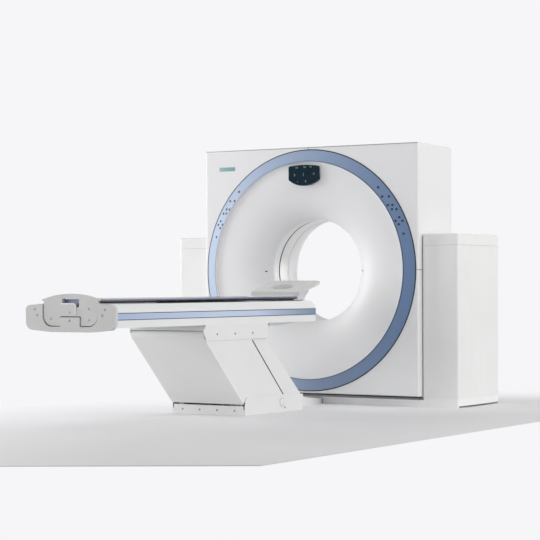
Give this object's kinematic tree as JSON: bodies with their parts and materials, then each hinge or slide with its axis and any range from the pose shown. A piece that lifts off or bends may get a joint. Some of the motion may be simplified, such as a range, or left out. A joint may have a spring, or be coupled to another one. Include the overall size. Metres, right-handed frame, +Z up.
{
  "type": "ct scanner",
  "caption": "CT scanner with a tilting gantry between two side boxes and a patient couch on a parallel-arm lift with a sliding tabletop.",
  "frame": {"origin": "on the floor under the crossing of the tilt axis and the bore axis", "axes": "+X to the right seen from the foot of the couch, +Y along the bore away from the couch, +Z up"},
  "size_m": [2.2456, 3.366, 1.761],
  "materials": {
    "structure_steel": "satin",
    "white_sheet": "satin",
    "white_moulding": "satin",
    "foot_moulding": "satin",
    "couch_shell": "satin",
    "plinth_grey": "satin",
    "blue_paint": "satin",
    "display_glass": "gloss",
    "window_film": "gloss",
    "key_plastic": "matt",
    "carbon_board": "satin",
    "machined_steel": "satin",
    "drive_casting": "satin",
    "rotor_alloy": "satin"
  },
  "bodies": {
    "base": {"stand_frame": "structure_steel", "plinth_skirt": "plinth_grey", "right_side_cover": "white_sheet", "left_side_cover": "white_sheet", "right_side_lid": "white_moulding", "left_side_lid": "white_moulding", "tilt_motor": "drive_casting", "floor_duct": "white_sheet", "table_base": "structure_steel", "lift_actuator_body": "drive_casting"},
    "pinion": {"tilt_pinion": "machined_steel"},
    "gantry": {"tilt_frame": "structure_steel", "tilt_sector": "machined_steel", "main_bearing": "machined_steel", "upper_left_panel": "white_moulding", "upper_right_panel": "white_moulding", "lower_left_panel": "white_moulding", "lower_right_panel": "white_moulding", "rear_cover": "white_moulding", "front_funnel": "white_moulding", "scan_window": "window_film", "blue_ring": "blue_paint", "display": "display_glass"},
    "rotor": {"rotor_drum": "rotor_alloy", "xray_tube": "drive_casting", "detector_arc": "rotor_alloy", "hv_generator": "drive_casting"},
    "front_arm": {"front_arm": "structure_steel", "front_arm_cover": "white_sheet"},
    "rear_arm": {"rear_arm": "white_sheet"},
    "actuator_rod": {"lift_actuator_rod": "machined_steel"},
    "couch": {"yoke": "structure_steel", "couch_body": "couch_shell", "couch_stripes": "blue_paint", "foot_plate": "foot_moulding"},
    "table": {"tabletop": "carbon_board", "foot_shield": "foot_moulding", "head_holder": "white_moulding"},
    "right_key_1": {"right_key_1": "key_plastic"},
    "right_key_2": {"right_key_2": "key_plastic"},
    "right_key_3": {"right_key_3": "key_plastic"},
    "right_key_4": {"right_key_4": "key_plastic"},
    "right_key_5": {"right_key_5": "key_plastic"},
    "right_key_6": {"right_key_6": "key_plastic"},
    "right_key_7": {"right_key_7": "key_plastic"},
    "right_key_8": {"right_key_8": "key_plastic"},
    "right_key_9": {"right_key_9": "key_plastic"},
    "right_key_10": {"right_key_10": "key_plastic"},
    "right_key_11": {"right_key_11": "key_plastic"},
    "left_key_1": {"left_key_1": "key_plastic"},
    "left_key_2": {"left_key_2": "key_plastic"},
    "left_key_3": {"left_key_3": "key_plastic"},
    "left_key_4": {"left_key_4": "key_plastic"},
    "left_key_5": {"left_key_5": "key_plastic"},
    "left_key_6": {"left_key_6": "key_plastic"},
    "left_key_7": {"left_key_7": "key_plastic"},
    "left_key_8": {"left_key_8": "key_plastic"},
    "left_key_9": {"left_key_9": "key_plastic"},
    "left_key_10": {"left_key_10": "key_plastic"},
    "left_key_11": {"left_key_11": "key_plastic"}
  },
  "joints": [
    {"name": "gantry_tilt", "type": "hinge", "parent": "base", "child": "gantry", "pos_m": [0, 0, 0.914], "axis": [1, 0, 0], "range_deg": [-30, 30]},
    {"name": "pinion_turn", "type": "hinge", "parent": "base", "child": "pinion", "pos_m": [0.88, 0.21449, 0.73402], "axis": [1, 0, 0], "range_deg": [-181, 181]},
    {"name": "rotor_spin", "type": "hinge", "parent": "gantry", "child": "rotor", "pos_m": [0, 0.1, 0.914], "axis": [0, 1, 0], "continuous": true},
    {"name": "lift", "type": "hinge", "parent": "base", "child": "front_arm", "pos_m": [0, -1.44, 0.068], "axis": [-1, 0, 0], "range_deg": [-22, 12.5]},
    {"name": "rear_arm_turn", "type": "hinge", "parent": "base", "child": "rear_arm", "pos_m": [0, -1.051, 0.068], "axis": [-1, 0, 0], "range_deg": [-22.1, 12.6]},
    {"name": "couch_level", "type": "hinge", "parent": "front_arm", "child": "couch", "pos_m": [0, -1.904, 0.516], "axis": [-1, 0, 0], "range_deg": [-12.6, 22.1]},
    {"name": "actuator_stroke", "type": "slide", "parent": "base", "child": "actuator_rod", "axis": [0, 1, 0], "range_m": [-0.0347, 0.0198]},
    {"name": "table_slide", "type": "slide", "parent": "couch", "child": "table", "axis": [0, 1, 0], "range_m": [0, 1.5]},
    {"name": "right_key_1_press", "type": "slide", "parent": "gantry", "child": "right_key_1", "axis": [-0.2609, 0.9406, -0.2174], "range_m": [0, 0.0015], "stiffness_N_per_m": 500},
    {"name": "right_key_2_press", "type": "slide", "parent": "gantry", "child": "right_key_2", "axis": [-0.2684, 0.9406, -0.2081], "range_m": [0, 0.0015], "stiffness_N_per_m": 500},
    {"name": "right_key_3_press", "type": "slide", "parent": "gantry", "child": "right_key_3", "axis": [-0.2802, 0.9406, -0.1918], "range_m": [0, 0.0015], "stiffness_N_per_m": 500},
    {"name": "right_key_4_press", "type": "slide", "parent": "gantry", "child": "right_key_4", "axis": [-0.2839, 0.9406, -0.1863], "range_m": [0, 0.0015], "stiffness_N_per_m": 500},
    {"name": "right_key_5_press", "type": "slide", "parent": "gantry", "child": "right_key_5", "axis": [-0.2896, 0.9406, -0.1773], "range_m": [0, 0.0015], "stiffness_N_per_m": 500},
    {"name": "right_key_6_press", "type": "slide", "parent": "gantry", "child": "right_key_6", "axis": [-0.2929, 0.9406, -0.1718], "range_m": [0, 0.0015], "stiffness_N_per_m": 500},
    {"name": "right_key_7_press", "type": "slide", "parent": "gantry", "child": "right_key_7", "axis": [-0.3046, 0.9406, -0.15], "range_m": [0, 0.0015], "stiffness_N_per_m": 500},
    {"name": "right_key_8_press", "type": "slide", "parent": "gantry", "child": "right_key_8", "axis": [-0.3069, 0.9406, -0.1452], "range_m": [0, 0.0015], "stiffness_N_per_m": 500},
    {"name": "right_key_9_press", "type": "slide", "parent": "gantry", "child": "right_key_9", "axis": [-0.3103, 0.9406, -0.138], "range_m": [0, 0.0015], "stiffness_N_per_m": 500},
    {"name": "right_key_10_press", "type": "slide", "parent": "gantry", "child": "right_key_10", "axis": [-0.3125, 0.9406, -0.1328], "range_m": [0, 0.0015], "stiffness_N_per_m": 500},
    {"name": "right_key_11_press", "type": "slide", "parent": "gantry", "child": "right_key_11", "axis": [-0.3233, 0.9406, -0.1037], "range_m": [0, 0.0015], "stiffness_N_per_m": 500},
    {"name": "left_key_1_press", "type": "slide", "parent": "gantry", "child": "left_key_1", "axis": [0.2609, 0.9406, -0.2174], "range_m": [0, 0.0015], "stiffness_N_per_m": 500},
    {"name": "left_key_2_press", "type": "slide", "parent": "gantry", "child": "left_key_2", "axis": [0.2684, 0.9406, -0.2081], "range_m": [0, 0.0015], "stiffness_N_per_m": 500},
    {"name": "left_key_3_press", "type": "slide", "parent": "gantry", "child": "left_key_3", "axis": [0.2802, 0.9406, -0.1918], "range_m": [0, 0.0015], "stiffness_N_per_m": 500},
    {"name": "left_key_4_press", "type": "slide", "parent": "gantry", "child": "left_key_4", "axis": [0.2839, 0.9406, -0.1863], "range_m": [0, 0.0015], "stiffness_N_per_m": 500},
    {"name": "left_key_5_press", "type": "slide", "parent": "gantry", "child": "left_key_5", "axis": [0.2896, 0.9406, -0.1773], "range_m": [0, 0.0015], "stiffness_N_per_m": 500},
    {"name": "left_key_6_press", "type": "slide", "parent": "gantry", "child": "left_key_6", "axis": [0.2929, 0.9406, -0.1718], "range_m": [0, 0.0015], "stiffness_N_per_m": 500},
    {"name": "left_key_7_press", "type": "slide", "parent": "gantry", "child": "left_key_7", "axis": [0.3046, 0.9406, -0.15], "range_m": [0, 0.0015], "stiffness_N_per_m": 500},
    {"name": "left_key_8_press", "type": "slide", "parent": "gantry", "child": "left_key_8", "axis": [0.3069, 0.9406, -0.1452], "range_m": [0, 0.0015], "stiffness_N_per_m": 500},
    {"name": "left_key_9_press", "type": "slide", "parent": "gantry", "child": "left_key_9", "axis": [0.3103, 0.9406, -0.138], "range_m": [0, 0.0015], "stiffness_N_per_m": 500},
    {"name": "left_key_10_press", "type": "slide", "parent": "gantry", "child": "left_key_10", "axis": [0.3125, 0.9406, -0.1328], "range_m": [0, 0.0015], "stiffness_N_per_m": 500},
    {"name": "left_key_11_press", "type": "slide", "parent": "gantry", "child": "left_key_11", "axis": [0.3233, 0.9406, -0.1037], "range_m": [0, 0.0015], "stiffness_N_per_m": 500}
  ],
  "couplings": [
    {"joint": "pinion_turn", "follows": "gantry_tilt", "ratio": -6},
    {"joint": "rear_arm_turn", "follows": "lift", "ratio": 1},
    {"joint": "couch_level", "follows": "lift", "ratio": -1},
    {"joint": "actuator_stroke", "follows": "lift", "m_per_rad": 0.09}
  ]
}
